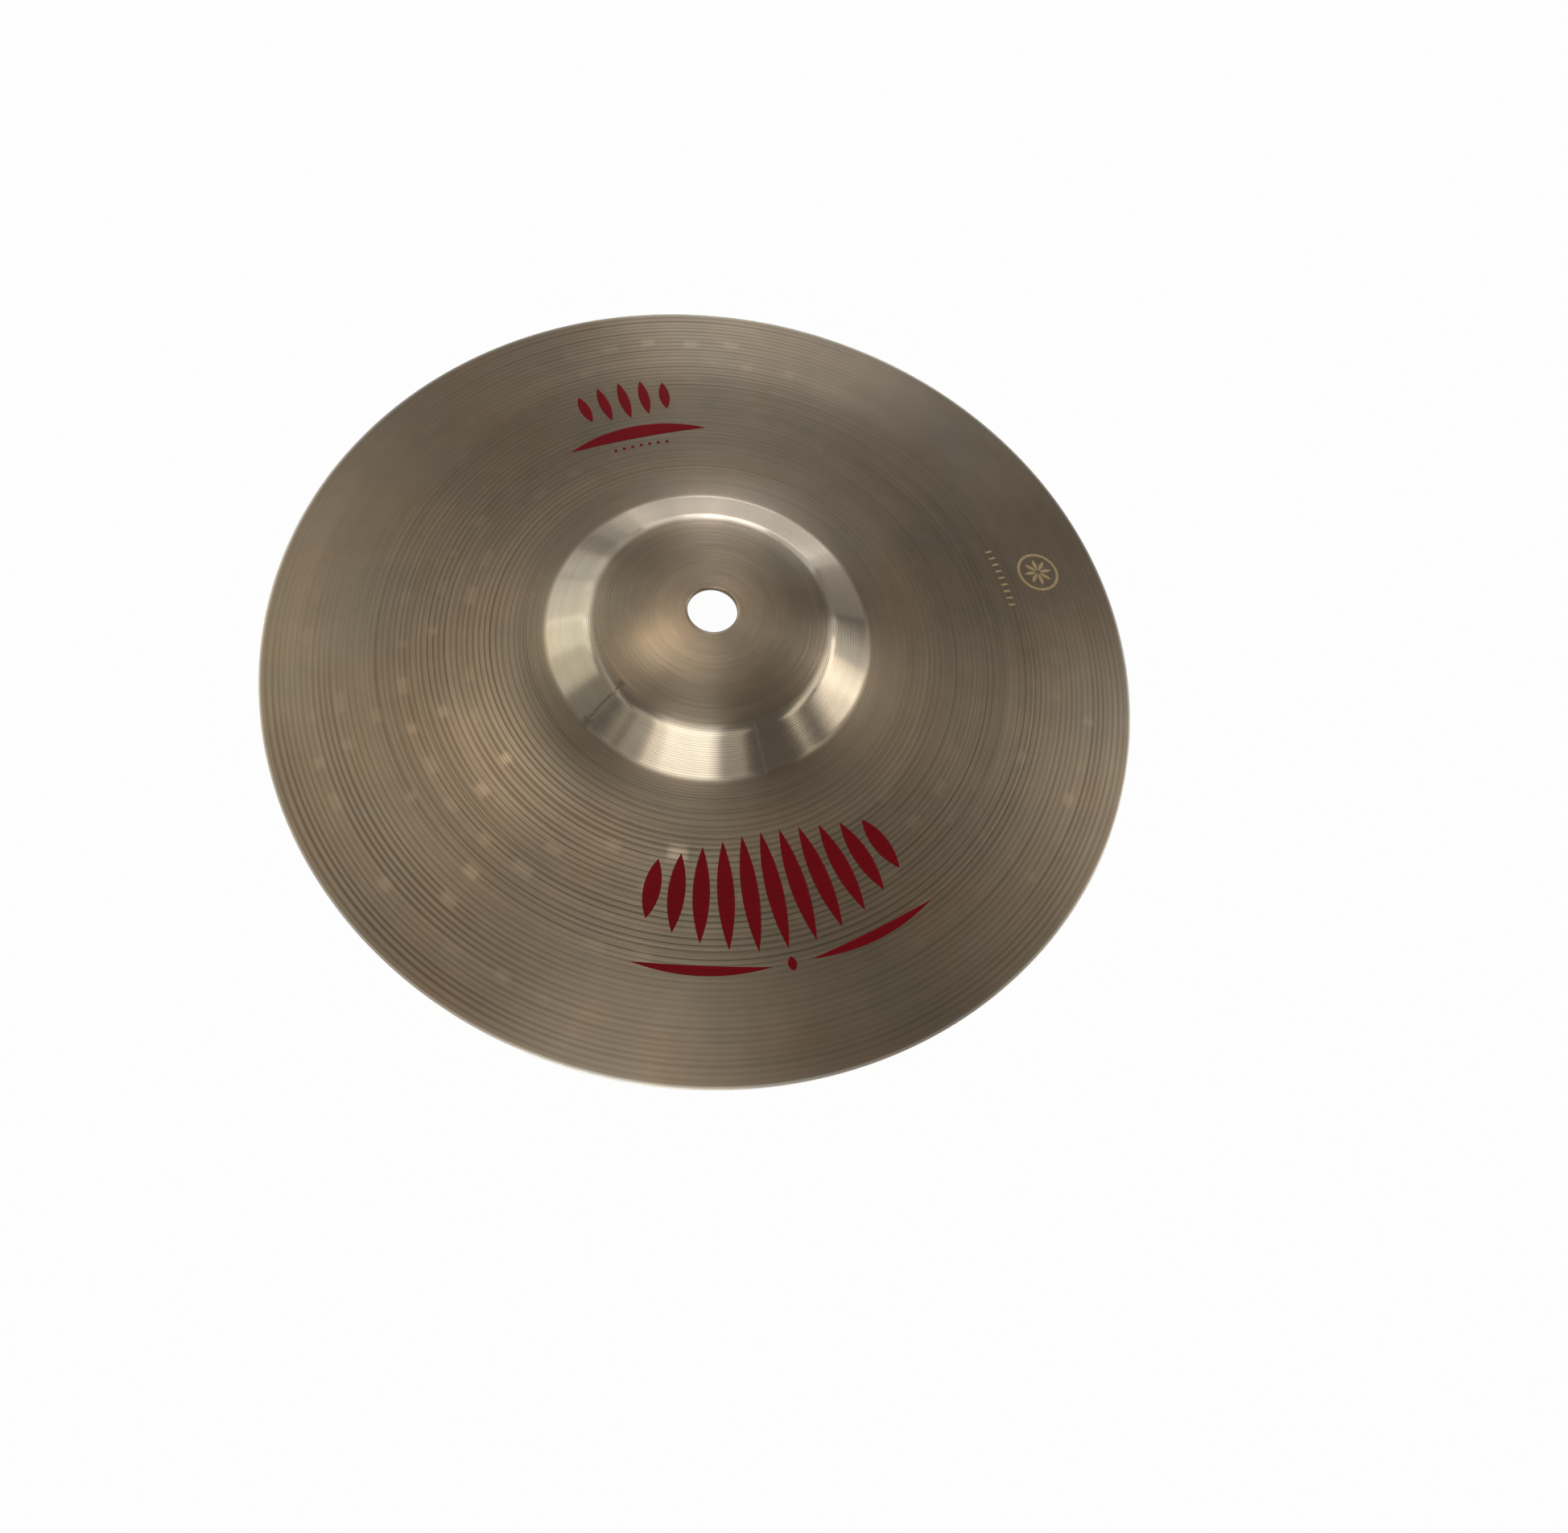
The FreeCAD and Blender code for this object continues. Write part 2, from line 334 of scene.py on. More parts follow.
class Field:
    """The output of a node. Reckoning with it adds Math nodes to its tree."""

    def __init__(self, socket):
        self.socket = socket

    def __add__(self, other):
        return maths("ADD", self, other)

    def __sub__(self, other):
        return maths("SUBTRACT", self, other)

    def __rsub__(self, other):
        return maths("SUBTRACT", other, self)

    def __mul__(self, other):
        return maths("MULTIPLY", self, other)

    def __truediv__(self, other):
        return maths("DIVIDE", self, other)

    def __pow__(self, other):
        return maths("POWER", self, other)

    def __abs__(self):
        return maths("ABSOLUTE", self)

    def times_plus(self, factor, base):
        """This times a factor, plus a base."""
        return maths("MULTIPLY_ADD", self, factor, base)


def link(value, socket):
    """Leads a field into a socket."""
    socket.id_data.links.new(value.socket, socket)


def add_node(tree, kind, values=None, **settings):
    """A node with its settings, and values for its sockets by name or number."""
    node = tree.nodes.new(kind)
    for name, value in settings.items():
        setattr(node, name, value)
    for name, value in (values or {}).items():
        if isinstance(value, Field):
            link(value, node.inputs[name])
        else:
            node.inputs[name].default_value = value
    return node


def fields(node):
    """The outputs of a node by name."""
    return {socket.name: Field(socket) for socket in node.outputs}


def field(tree, kind, values=None, output=0, **settings):
    """One output of a new node."""
    return Field(add_node(tree, kind, values, **settings).outputs[output])


def tree_of(values):
    """The node tree of the first field among some values."""
    return next(value.socket.id_data for value in values if isinstance(value, Field))


def maths(operation, *values):
    """The result of a Math node."""
    return field(tree_of(values), "ShaderNodeMath", dict(enumerate(values)), operation=operation)


def vector_maths(operation, *values, output=0):
    """The result of a Vector Math node."""
    sockets = {0: values[0], "Scale": values[1]} if operation == "SCALE" else dict(enumerate(values))
    return field(tree_of(values), "ShaderNodeVectorMath", sockets, output, operation=operation)


def remap(value, low, high, to_low=0.0, to_high=1.0, smooth=False):
    """The result of a Map Range node, clamped."""
    kind = "SMOOTHSTEP" if smooth else "LINEAR"
    sockets = {"Value": value, "From Min": low, "From Max": high, "To Min": to_low, "To Max": to_high}
    return field(tree_of([value]), "ShaderNodeMapRange", sockets, interpolation_type=kind)


def parts(vector):
    """The three parts of a vector."""
    return [Field(socket) for socket in
            add_node(tree_of([vector]), "ShaderNodeSeparateXYZ", {0: vector}).outputs]


def combined(**values):
    """A vector from its parts."""
    return field(tree_of(values.values()), "ShaderNodeCombineXYZ", values)


def noise(place, scale, detail):
    """Soft noise about a half."""
    sockets = {"Vector": place, "Scale": scale, "Detail": detail, "Roughness": 0.6}
    return field(tree_of([place]), "ShaderNodeTexNoise", sockets)


def new_group(name, kind, inputs, outputs):
    """An empty node group, its inputs by name and its output node. Sockets are names with kinds."""
    tree = bpy.data.node_groups.new(name, kind)
    for in_out, sockets in (("INPUT", inputs), ("OUTPUT", outputs)):
        for label, socket_kind in sockets.items():
            tree.interface.new_socket(name=label, in_out=in_out, socket_type="NodeSocket" + socket_kind)
    return tree, fields(tree.nodes.new("NodeGroupInput")), tree.nodes.new("NodeGroupOutput")


def apply_tree(piece, tree, settings):
    """Runs a Geometry Nodes tree on a piece and keeps the result as its plain mesh."""
    modifier = piece.modifiers.new(tree.name, "NODES")
    modifier.node_group = tree
    by_name = {item.name: item.identifier for item in tree.interface.items_tree
               if item.item_type == "SOCKET" and item.in_out == "INPUT"}
    for name, value in settings.items():
        modifier[by_name[name]] = value
    graph = bpy.context.evaluated_depsgraph_get()
    mesh = bpy.data.meshes.new_from_object(piece.evaluated_get(graph))
    piece.modifiers.remove(modifier)
    old = piece.data
    piece.data = mesh
    mesh.name = piece.name
    bpy.data.meshes.remove(old)


def polar(position):
    """Radius and angle of a place on the disc, and its direction from the axis."""
    flat = vector_maths("MULTIPLY", position, (1, 1, 0))
    x, y, _ = parts(flat)
    radius = vector_maths("LENGTH", flat, output="Value")
    return radius, maths("ARCTAN2", y, x), vector_maths("NORMALIZE", flat)


def ring_noise(radius, direction, width, turns, detail, offset=0.0):
    """Noise drawn out round the disc: rings of about this width that slowly come and go."""
    lift = combined(Z=radius.times_plus(1 / width, offset))
    return noise(vector_maths("ADD", vector_maths("SCALE", direction, turns), lift), 1.0, detail)


def groove_turns(radius, direction, pitch):
    """How many tonal grooves lie inside this radius, a little unevenly spaced."""
    return radius / pitch + ring_noise(radius, direction, 0.006, 0.08, 1.0) * 1.2


def wave(turns, sharpness):
    """1 at each whole turn and 0 between them, narrower where the sharpness is higher."""
    return maths("COSINE", turns * TURN).times_plus(0.5, 0.5) ** sharpness


def groove_wave(radius, direction, pitch):
    """Tonal grooves: 1 at the bottom of a groove, soft near the rim and narrow further in."""
    return wave(groove_turns(radius, direction, pitch), remap(radius, *RIM_ZONE, 5.0, 1.4))


def groove_bite_and_light(radius, angle):
    """How deep the tool cuts and how strongly the grooves are painted: deeper on one side of the bow, and on
    three sides near the rim.

    A lathe cuts more evenly. The swing follows the grooves' contrast in the photograph, which comes at least
    partly from the light there; in the colour it is painted light and shade.
    """
    def swung(middle, sides):
        """1 in the middle of each side and 0 between them."""
        return maths("COSINE", (angle - middle) * sides).times_plus(0.5, 0.5)

    bow_side = remap(radius, 0.050, 0.082, math.radians(200), math.radians(245))
    bow = (swung(bow_side, 1) ** 1.2).times_plus(0.95, 0.20)
    one_side = (swung(math.radians(231.5), 1) ** 4).times_plus(0.28, 0.06)
    rim = (swung(math.radians(83.5), 3) ** 1.5).times_plus(0.75, one_side)
    return remap(radius, 0.082, 0.090).times_plus(rim - bow, bow)


def hammer_marks(radius, angle, spacing, start):
    """Hammer marks in rings: 1 in a mark that was struck hard, 0 between marks."""
    height = spacing * HAMMER_RING_SHARE
    rings = (radius - start) / height
    ring = maths("FLOOR", rings)
    count = maths("ROUND", (ring + 0.5).times_plus(height, start) * TURN / spacing)
    tree = tree_of([ring])
    first = field(tree, "ShaderNodeTexWhiteNoise", {"W": ring}, noise_dimensions="1D")
    cells = maths("FRACT", angle / TURN + first) * count
    seed = combined(X=ring, Y=maths("FLOOR", cells))
    random = fields(add_node(tree, "ShaderNodeTexWhiteNoise", {"Vector": seed}, noise_dimensions="2D"))
    along_shift, across_shift, size = parts(random["Color"])
    along = maths("FRACT", cells) - remap(along_shift, 0, 1, 0.35, 0.65)
    across = maths("FRACT", rings) - remap(across_shift, 0, 1, 0.40, 0.60)
    wide = remap(size, 0, 1, 0.16, 0.30) - abs(along)
    patch = remap(wide, 0, 0.18, smooth=True) * remap(0.26 - abs(across), 0, 0.20, smooth=True)
    inside = remap(rings, 0, 0.1) * remap(rings, HAMMER_RINGS + 0.1, HAMMER_RINGS)
    return patch * (remap(random["Value"], 0.3, 0.9) * inside)


def named_value(tree, name):
    """The field of a named vector."""
    return field(tree, "GeometryNodeInputNamedAttribute", {"Name": name}, data_type="FLOAT_VECTOR")


def merged(tree, geometry):
    """A mesh with the points that lie on each other made one."""
    return field(tree, "GeometryNodeMergeByDistance", {"Geometry": geometry, "Distance": 1e-7})


def finish_tree(tree, geometry, material, result):
    """Ends a tree: smooth, real and dressed."""
    smooth = field(tree, "GeometryNodeSetShadeSmooth", {"Geometry": geometry})
    real = field(tree, "GeometryNodeRealizeInstances", {"Geometry": smooth})
    link(field(tree, "GeometryNodeSetMaterial", {"Geometry": real, "Material": material}), result.inputs[0])
    return tree


def lathe_tree():
    """Turns the profile into the disc. Its grooves and hammer marks are in its material alone."""
    tree, given, result = new_group("Lathe the disc", "GeometryNodeTree", {
        "Geometry": "Geometry", "Profile points": "Int", "Segments": "Int", "Bronze": "Material"},
        {"Geometry": "Geometry"})
    columns = given["Segments"] + 1
    grid = field(tree, "GeometryNodeMeshGrid", {
        "Vertices X": given["Profile points"] + 1, "Vertices Y": columns})
    index = field(tree, "GeometryNodeInputIndex")
    row = maths("FLOOR", (index + 0.5) / columns)
    station = field(tree, "GeometryNodeSampleIndex", {
        "Geometry": given["Geometry"], "Value": field(tree, "GeometryNodeInputPosition"),
        "Index": maths("MODULO", row, given["Profile points"])}, data_type="FLOAT_VECTOR")
    turned = field(tree, "ShaderNodeVectorRotate", {
        "Vector": station, "Axis": (0, 0, 1),
        "Angle": (index - row * columns) / given["Segments"] * TURN}, rotation_type="AXIS_ANGLE")
    moved = field(tree, "GeometryNodeSetPosition", {"Geometry": grid, "Position": turned})
    return finish_tree(tree, merged(tree, moved), given["Bronze"], result)


def side_offset(along, chord, bulge):
    """How far an arc stands off its chord, at this distance from the chord's middle."""
    size = maths("MAXIMUM", abs(bulge), 1e-8)
    radius = size.times_plus(size, chord * chord / 4) / (size * 2)
    rise = maths("SQRT", maths("MAXIMUM", radius * radius - along * along, 0))
    return maths("MAXIMUM", rise - (radius - size), 0) * maths("SIGN", bulge)


def ink_tree():
    """Lays a closed film of ink on the bronze for each mark: a leaf between two arcs, or a ring."""
    tree, given, result = new_group("Lay the ink", "GeometryNodeTree", {
        "Geometry": "Geometry", "Bronze": "Object", "Steps along": "Int", "Steps across": "Int",
        "Film": "Float", "Ink": "Material"}, {"Geometry": "Geometry"})
    grid = field(tree, "GeometryNodeMeshGrid", {
        "Size X": 1.0, "Size Y": 1.0,
        "Vertices X": given["Steps along"] + 1, "Vertices Y": given["Steps across"] + 1})
    strip = field(tree, "GeometryNodeStoreNamedAttribute", {
        "Geometry": grid, "Name": "strip", "Value": field(tree, "GeometryNodeInputPosition")},
        data_type="FLOAT_VECTOR", domain="POINT")
    placed = field(tree, "GeometryNodeInstanceOnPoints", {"Points": given["Geometry"], "Instance": strip})
    real = field(tree, "GeometryNodeRealizeInstances", {"Geometry": placed})

    # A leaf lies between the arcs on both sides of its chord
    along_share, across_share, _ = parts(named_value(tree, "strip"))
    left_bulge, right_bulge, ring_radius = parts(named_value(tree, "sides"))
    chord = named_value(tree, "chord")
    length = vector_maths("LENGTH", chord, output="Value")
    forward = vector_maths("NORMALIZE", chord)
    left = vector_maths("CROSS_PRODUCT", (0, 0, 1), forward)
    along = along_share * length
    across = remap(across_share, -0.5, 0.5)
    off = (side_offset(along, length, left_bulge) * across
           + side_offset(along, length, right_bulge) * -1 * (1 - across))
    leaf_place = vector_maths("ADD", vector_maths("SCALE", forward, along), vector_maths("SCALE", left, off))

    # A ring goes round its middle, as wide as its chord is long
    turn = along_share * TURN
    reach = ring_radius + across_share * length
    ring_place = combined(X=maths("COSINE", turn) * reach, Y=maths("SINE", turn) * (reach * -1))
    is_ring = field(tree, "FunctionNodeCompare", {0: ring_radius, 1: 0.0},
                    data_type="FLOAT", operation="GREATER_THAN")
    chosen = field(tree, "GeometryNodeSwitch", {0: is_ring, 1: leaf_place, 2: ring_place},
                   input_type="VECTOR")

    # Both drop onto the bronze, sink into it a little and get their film's thickness
    plan = vector_maths("ADD", named_value(tree, "middle"), chosen)
    bronze = fields(add_node(tree, "GeometryNodeObjectInfo", {"Object": given["Bronze"]}))
    hit = fields(add_node(tree, "GeometryNodeRaycast", {
        "Target Geometry": bronze["Geometry"], "Ray Direction": (0, 0, -1), "Ray Length": 2 * ABOVE_DISC,
        "Source Position": vector_maths("ADD", plan, (0, 0, ABOVE_DISC))}))
    laid = field(tree, "GeometryNodeSetPosition", {
        "Geometry": real, "Position": hit["Hit Position"],
        "Offset": vector_maths("SCALE", hit["Hit Normal"], given["Film"] * -INK_SINK)})
    sheet = merged(tree, laid)
    raised = field(tree, "GeometryNodeExtrudeMesh", {
        "Mesh": sheet, "Offset": field(tree, "GeometryNodeInputNormal"),
        "Offset Scale": given["Film"] * (1 + INK_SINK), "Individual": False}, mode="FACES")
    joined = tree.nodes.new("GeometryNodeJoinGeometry")
    link(raised, joined.inputs[0])
    link(field(tree, "GeometryNodeFlipFaces", {"Mesh": sheet}), joined.inputs[0])
    return finish_tree(tree, merged(tree, Field(joined.outputs[0])), given["Ink"], result)


def plan_place(radius, angle):
    """A point of the plan, seen from above."""
    return Vector((radius * math.cos(angle), radius * math.sin(angle), 0))


def leaf(start, end, left_bulge, right_bulge):
    """A mark between two arcs that share their ends: its middle, its chord and its sides."""
    return (start + end) / 2, end - start, Vector((left_bulge, right_bulge, 0))


def ray(radius, angle, length, width):
    """A leaf that points away from the axis."""
    start, end = plan_place(radius - length / 2, angle), plan_place(radius + length / 2, angle)
    return leaf(start, end, width / 2, width / 2)


def arc_line(radius, angle, length, width):
    """A line round the axis that swells to its width."""
    half = length / radius / 2
    sagitta = radius * (1 - math.cos(half))
    start, end = plan_place(radius, angle - half), plan_place(radius, angle + half)
    return leaf(start, end, width / 2 - sagitta, width / 2 + sagitta)


def round_dot(radius, angle, diameter):
    """A round mark."""
    return ray(radius, angle, diameter, diameter)


def ring(radius, angle, diameter, width):
    """A round line."""
    return plan_place(radius, angle), Vector((width, 0, 0)), Vector((0, 0, (diameter - width) / 2))


def row_angles(angle, radius, count, pitch):
    """The angles of marks that stand a pitch apart along a ring."""
    return [angle + (number - (count - 1) / 2) * pitch / radius for number in range(count)]


def fan(size, radius):
    """The rays of a print side by side, the longest in the middle."""
    marks = []
    middle = (size.rays - 1) / 2
    for number, angle in enumerate(row_angles(size.angle, radius, size.rays, size.ray_pitch)):
        rise = math.cos(math.pi / 2 * (number - middle) / (middle + 1))
        length = size.ray_length * (size.ray_shortest + (1 - size.ray_shortest) * rise)
        marks.append(ray(radius, angle, length, size.ray_width))
    return marks


def new_piece(name, points, edges=(), faces=()):
    """A mesh object at the origin, in the scene's collection."""
    mesh = bpy.data.meshes.new(name)
    mesh.from_pydata(points, edges, faces)
    piece = bpy.data.objects.new(name, mesh)
    bpy.context.scene.collection.objects.link(piece)
    return piece


def ink_piece(name, node, marks, steps, colour_slot):
    """One coat of ink on the bronze, in the place of its CAD node.

    The steps are those of the mesh along and across each mark.
    """
    middles, chords, sides = zip(*marks)
    piece = new_piece(name, middles)
    for label, values in (("middle", middles), ("chord", chords), ("sides", sides)):
        attribute = piece.data.attributes.new(label, "FLOAT_VECTOR", "POINT")
        for item, value in zip(attribute.data, values):
            item.vector = value
    ink = bpy.context.scene.cymbal_ink
    apply_tree(piece, ink_tree(), {
        "Bronze": bpy.data.objects["cymbal_bronze"], "Steps along": steps[0], "Steps across": steps[1],
        "Film": ink.film, "Ink": ink_material(colour_slot, getattr(ink, colour_slot))})
    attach(piece, "root")
    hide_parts(node)


def cross_section(bronze):
    """The closed outline of the wall: radii and heights."""
    top, under = disc_profiles(bronze)
    edge = bronze.edge_round
    last = RIM_RADIUS - edge
    groove_step = bronze.groove_pitch / STEPS_IN_GROOVE
    radii, start = [], top.start
    for end, step in zip(top.ends, (*BELL_STEPS, groove_step, groove_step)):
        radii += even_steps(start, min(end, last), step)[:-1]
        start = end
    stations = [(radius, top.height(radius)) for radius in radii + [last]]
    for height, quarters in ((top.height(last) - edge, (0.25, 0.5, 0.75, 1)),
                             (under.height(last) + edge, (1, 1.25, 1.5, 1.75))):
        for quarter in quarters:
            turn = quarter * math.pi / 2
            stations.append((last + math.sin(turn) * edge, height + math.cos(turn) * edge))
    stations += [(radius, under.height(radius)) for radius in even_steps(last, under.start, UNDERSIDE_STEP)]
    return stations


def bronze_disc(bronze, material):
    """The bronze of the cymbal, in one piece."""
    stations = cross_section(bronze)
    piece = new_piece("cymbal_bronze", [(radius, 0, height) for radius, height in stations])
    apply_tree(piece, lathe_tree(), {
        "Profile points": len(stations), "Segments": bronze.segments, "Bronze": material})
    return piece


def marks_group(name, build):
    """A shader node group that takes a position, with outputs by name. It is built only once."""
    if name in bpy.data.node_groups:
        return bpy.data.node_groups[name]
    tree, given, result = new_group(name, "ShaderNodeTree", {"Position": "Vector"}, {})
    for label, value in build(given["Position"]).items():
        tree.interface.new_socket(name=label, in_out="OUTPUT", socket_type="NodeSocketFloat")
        link(value, result.inputs[label])
    return tree


def lathe_marks():
    """The marks of the lathe: rings, grooves with lesser ones between them, and how deep the tool bites, a
    swing that the colour also uses as painted light and shade.
    """
    bronze = bpy.context.scene.cymbal_bronze

    def build(position):
        """The outputs by name. Grooves, lines and crown rings swing about 0, so the mean tone stays."""
        radius, angle, direction = polar(position)
        bite_and_light = groove_bite_and_light(radius, angle)
        uneven = remap(ring_noise(radius, direction, 0.0018, 0.6, 1.0, 11.0), 0.38, 0.62, 0.5, 1.0)
        grooves = (groove_wave(radius, direction, bronze.groove_pitch) * uneven
                   - remap(radius, *RIM_ZONE, 0.19, 0.32))
        between = groove_turns(radius, direction, bronze.groove_pitch).times_plus(2.0, 0.5)
        patchy = remap(ring_noise(radius, direction, 0.0015, 0.8, 1.0, 23.0), 0.45, 0.6)
        wander = ring_noise(radius, direction, 0.003, 0.1, 1.0, 31.0) * 1.5
        return {
            "Fine rings": ring_noise(radius, direction, 0.0005, 0.4, 1.0),
            "Broad rings": ring_noise(radius, direction, 0.0035, 1.5, 2.0, 5.0),
            "Grooves": grooves * bite_and_light,
            "Half grooves": (wave(between, 5.0) * patchy - 0.12) * bite_and_light,
            "Flank lines": wave(radius / bronze.flank_pitch + wander, 1.5) - 0.42,
            "Crown rings": ring_noise(radius, direction, 0.0009, 1.0, 2.0, 41.0) - 0.5,
            "Bite": bite_and_light,
            "Radius": radius,
        }

    return marks_group("Lathe marks", build)


def wear_and_painted_light():
    """Where the bronze is struck by the hammer, scratched, tarnished or mottled.

    Where the photograph is brighter, three sectors are painted highlights: the far side of the outer bow, the
    front left of the bow and a small glint at the front.
    """
    bronze = bpy.context.scene.cymbal_bronze

    def build(position):
        """The outputs by name."""
        radius, angle, direction = polar(position)
        ragged = (noise(position, 450.0, 2.0) - 0.5) * 0.0012

        def streak(degrees, start, end, width):
            """A line across the flank: 1 along its middle."""
            x, y, _ = plan_place(1, math.radians(degrees))
            side = vector_maths("DOT_PRODUCT", position, (y, -x, 0), output="Value")
            ahead = vector_maths("DOT_PRODUCT", position, (x, y, 0), output="Value")
            ends = remap(ahead, start, start + MM) * remap(ahead, end, end - MM)
            return remap(abs(side + ragged), width / 2, 0, smooth=True) * ends

        def painted_highlight_sector(degrees, reach, start, full, fading, end):
            """A painted highlight: 1 in the middle of a sector between two rings."""
            middle = plan_place(1, math.radians(degrees))
            towards = vector_maths("DOT_PRODUCT", direction, middle, output="Value")
            inside = remap(radius, start, full, smooth=True) * remap(radius, end, fading, smooth=True)
            return remap(towards, reach, 1.0, smooth=True) * inside

        scratch_ends = maths("MAXIMUM", streak(208.5, 0.0290, 0.0308, 0.0030),
                             streak(208.5, 0.0395, 0.0425, 0.0040) * 0.7)
        return {
            "Hammer": hammer_marks(radius, angle, bronze.hammer_spacing, bronze.hammer_start),
            "Mottle": noise(position, 70.0, 3.0),
            "Tarnish": noise(position, 32.0, 2.0),
            "Specks": noise(position, 900.0, 2.0),
            # Painted highlights: the far and front sectors and the glint lighten the bronze as if light fell
            # on it
            "Bright side": painted_highlight_sector(66.5, 0.82, 0.080, 0.095, 0.120, 0.130),
            "Glint": painted_highlight_sector(249.5, 0.9986, 0.0565, 0.0595, 0.0605, 0.0630),
            "Bright front": painted_highlight_sector(201.5, 0.90, 0.048, 0.056, 0.066, 0.080),
            "Scratch": maths("MAXIMUM", scratch_ends, streak(208.5, 0.029, 0.0425, 0.0016) * 0.5),
            "Streak": streak(276.5, 0.030, 0.0425, 0.0014),
        }

    return marks_group("Wear marks", build)


def ramp(radius, stops):
    """A curve over the radius: pairs of radius in metres and value or colour."""
    node = add_node(tree_of([radius]), "ShaderNodeValToRGB", {0: radius / RIM_RADIUS})
    elements = node.color_ramp.elements
    while len(elements) < len(stops):
        elements.new(1)
    for element, (place, level) in zip(elements, stops):
        element.position = place / RIM_RADIUS
        element.color = (*level, 1) if isinstance(level, tuple) else (level, level, level, 1)
    return Field(node.outputs[0])


def place_group(tree, group):
    """The outputs of a shader node group that is fed with the object's own coordinates."""
    position = field(tree, "ShaderNodeTexCoord", output="Object")
    return fields(add_node(tree, "ShaderNodeGroup", {0: position}, node_tree=group))


def bump(height):
    """A normal from a height in metres."""
    return field(tree_of([height]), "ShaderNodeBump", {"Height": height, "Distance": 1.0, "Strength": 1.0})


def swing(value, amount):
    """1 with an even noise's swing about it."""
    return (value - 0.5).times_plus(amount, 1.0)


def new_material(name):
    """A material with its tree and its shader."""
    material = bpy.data.materials.new(name)
    material.use_nodes = True
    return material, material.node_tree, material.node_tree.nodes["Principled BSDF"]


def bronze_material(bronze):
    """Lathed bronze: bright along the flank of the bell, brown-grey and grooved on the bow.

    Its tones over the radius were matched to the photograph's under the lamps of this studio.
    """
    material, tree, shader = new_material("lathed_bronze")
    lathe, wear_and_light = place_group(tree, lathe_marks()), place_group(tree, wear_and_painted_light())
    radius = lathe["Radius"]
    shader.inputs["Metallic"].default_value = 1.0
    shader.inputs["Anisotropic"].default_value = 0.55
    shader.inputs["Anisotropic Rotation"].default_value = 0.25
    link(field(tree, "ShaderNodeTangent", direction_type="RADIAL", axis="Z"), shader.inputs["Tangent"])

    def toned(level):
        """The bronze's colour, lighter or darker."""
        return tuple(part * level for part in bronze.colour)

    cut, flank = tuple(bronze.cut_colour), tuple(bronze.flank_colour)
    # Painted shade: the hole's wall and edge, and the band below the flank's foot, are darker than the bronze
    # around them
    base = ramp(radius, (
        (0.00636, toned(0.5)), (0.00652, toned(1.34)), (0.0143, toned(1.46)), (0.0147, toned(1.37)),
        (0.0185, toned(1.30)), (0.0220, toned(1.06)), (0.0262, toned(0.88)), (0.0298, toned(0.97)),
        (0.0305, flank), (0.0411, flank), (0.0422, toned(0.64)), (0.0458, toned(0.63)),
        (0.0485, toned(0.67)), (0.052, toned(0.79)), (0.058, toned(0.88)), (0.066, toned(0.82)),
        (0.076, toned(0.78)), (0.086, toned(0.78)), (0.094, toned(0.85)), (0.11365, toned(0.84)),
        (0.1139, cut)))
    rough = ramp(radius, (
        (0.00636, 0.5), (0.00652, 0.42), (0.0130, 0.34), (0.0180, 0.30), (0.0270, 0.30),
        (0.0302, 0.23), (0.0316, 0.16), (0.0411, 0.16), (0.0425, 0.38), (0.046, 0.45),
        (0.052, 0.42), (0.060, 0.35), (0.1139, 0.33), (0.1141, 0.20)))
    worked = ramp(radius, ((0.0285, 0.5), (0.041, 0.5), (0.052, 1.0), (0.086, 1.0), (0.092, 0.5)))

    # The marks, each only in its own zone of the disc
    on_bow = remap(radius, 0.046, 0.055)
    # Hammer marks, smoother than the grooved bronze; their lighter colour below is painted sheen, strongest
    # where the light falls
    dents_and_sheen = wear_and_light["Hammer"] * on_bow * lathe["Bite"]
    grooves = lathe["Grooves"] * on_bow * dents_and_sheen.times_plus(-0.8, 1.0)
    lesser = lathe["Half grooves"] * ramp(radius, (
        (0.042, 0.0), (0.046, 1.0), (0.087, 1.0), (0.092, 0.15)))
    fine = (lathe["Fine rings"] - 0.5) * ramp(radius, (
        (0.0285, 0.5), (0.030, 0.06), (0.041, 0.06), (0.044, 0.7), (0.052, 1.0), (0.086, 1.0),
        (0.092, 0.35)))
    crown = lathe["Crown rings"] * ramp(radius, ((0.014, 1.0), (0.018, 0.6), (0.029, 0.8), (0.0305, 0.0)))
    turned = lathe["Flank lines"] * ramp(radius, (
        (0.0298, 0.0), (0.0305, 1.0), (0.0411, 1.0), (0.0425, 0.0)))

    # They darken or lighten the colour, which also turns warmer or cooler with the tarnish
    shade = swing(lathe["Fine rings"], worked * 0.30)
    for value, amount in ((lathe["Broad rings"], 0.12), (wear_and_light["Mottle"], 0.30)):
        shade *= swing(value, amount)
    # Painted shade and highlight: the grooves and lesser grooves are darker in their valleys and lighter on
    # their ridges, most on the sides where the light shows them
    for value, amount in ((grooves, -0.60), (lesser, -0.45), (turned, -0.25), (crown, 0.32),
                          # Painted highlights: the far and front sectors and the glint
                          (dents_and_sheen, 0.34), (wear_and_light["Bright side"], 0.36), (wear_and_light["Bright front"], 0.20),
                          (wear_and_light["Glint"], 0.9), (wear_and_light["Scratch"], -0.45), (wear_and_light["Streak"], 0.25)):
        shade *= value.times_plus(amount, 1.0)
    hue = vector_maths("SCALE", (0.22, -0.02, -0.20), wear_and_light["Tarnish"] - 0.5)
    base = vector_maths("MULTIPLY", base, vector_maths("ADD", hue, (1, 1, 1)))
    link(vector_maths("SCALE", base, shade), shader.inputs["Base Color"])
    rough = rough * swing(lathe["Broad rings"], 0.15) * dents_and_sheen.times_plus(-0.12, 1.0)
    link(rough, shader.inputs["Roughness"])

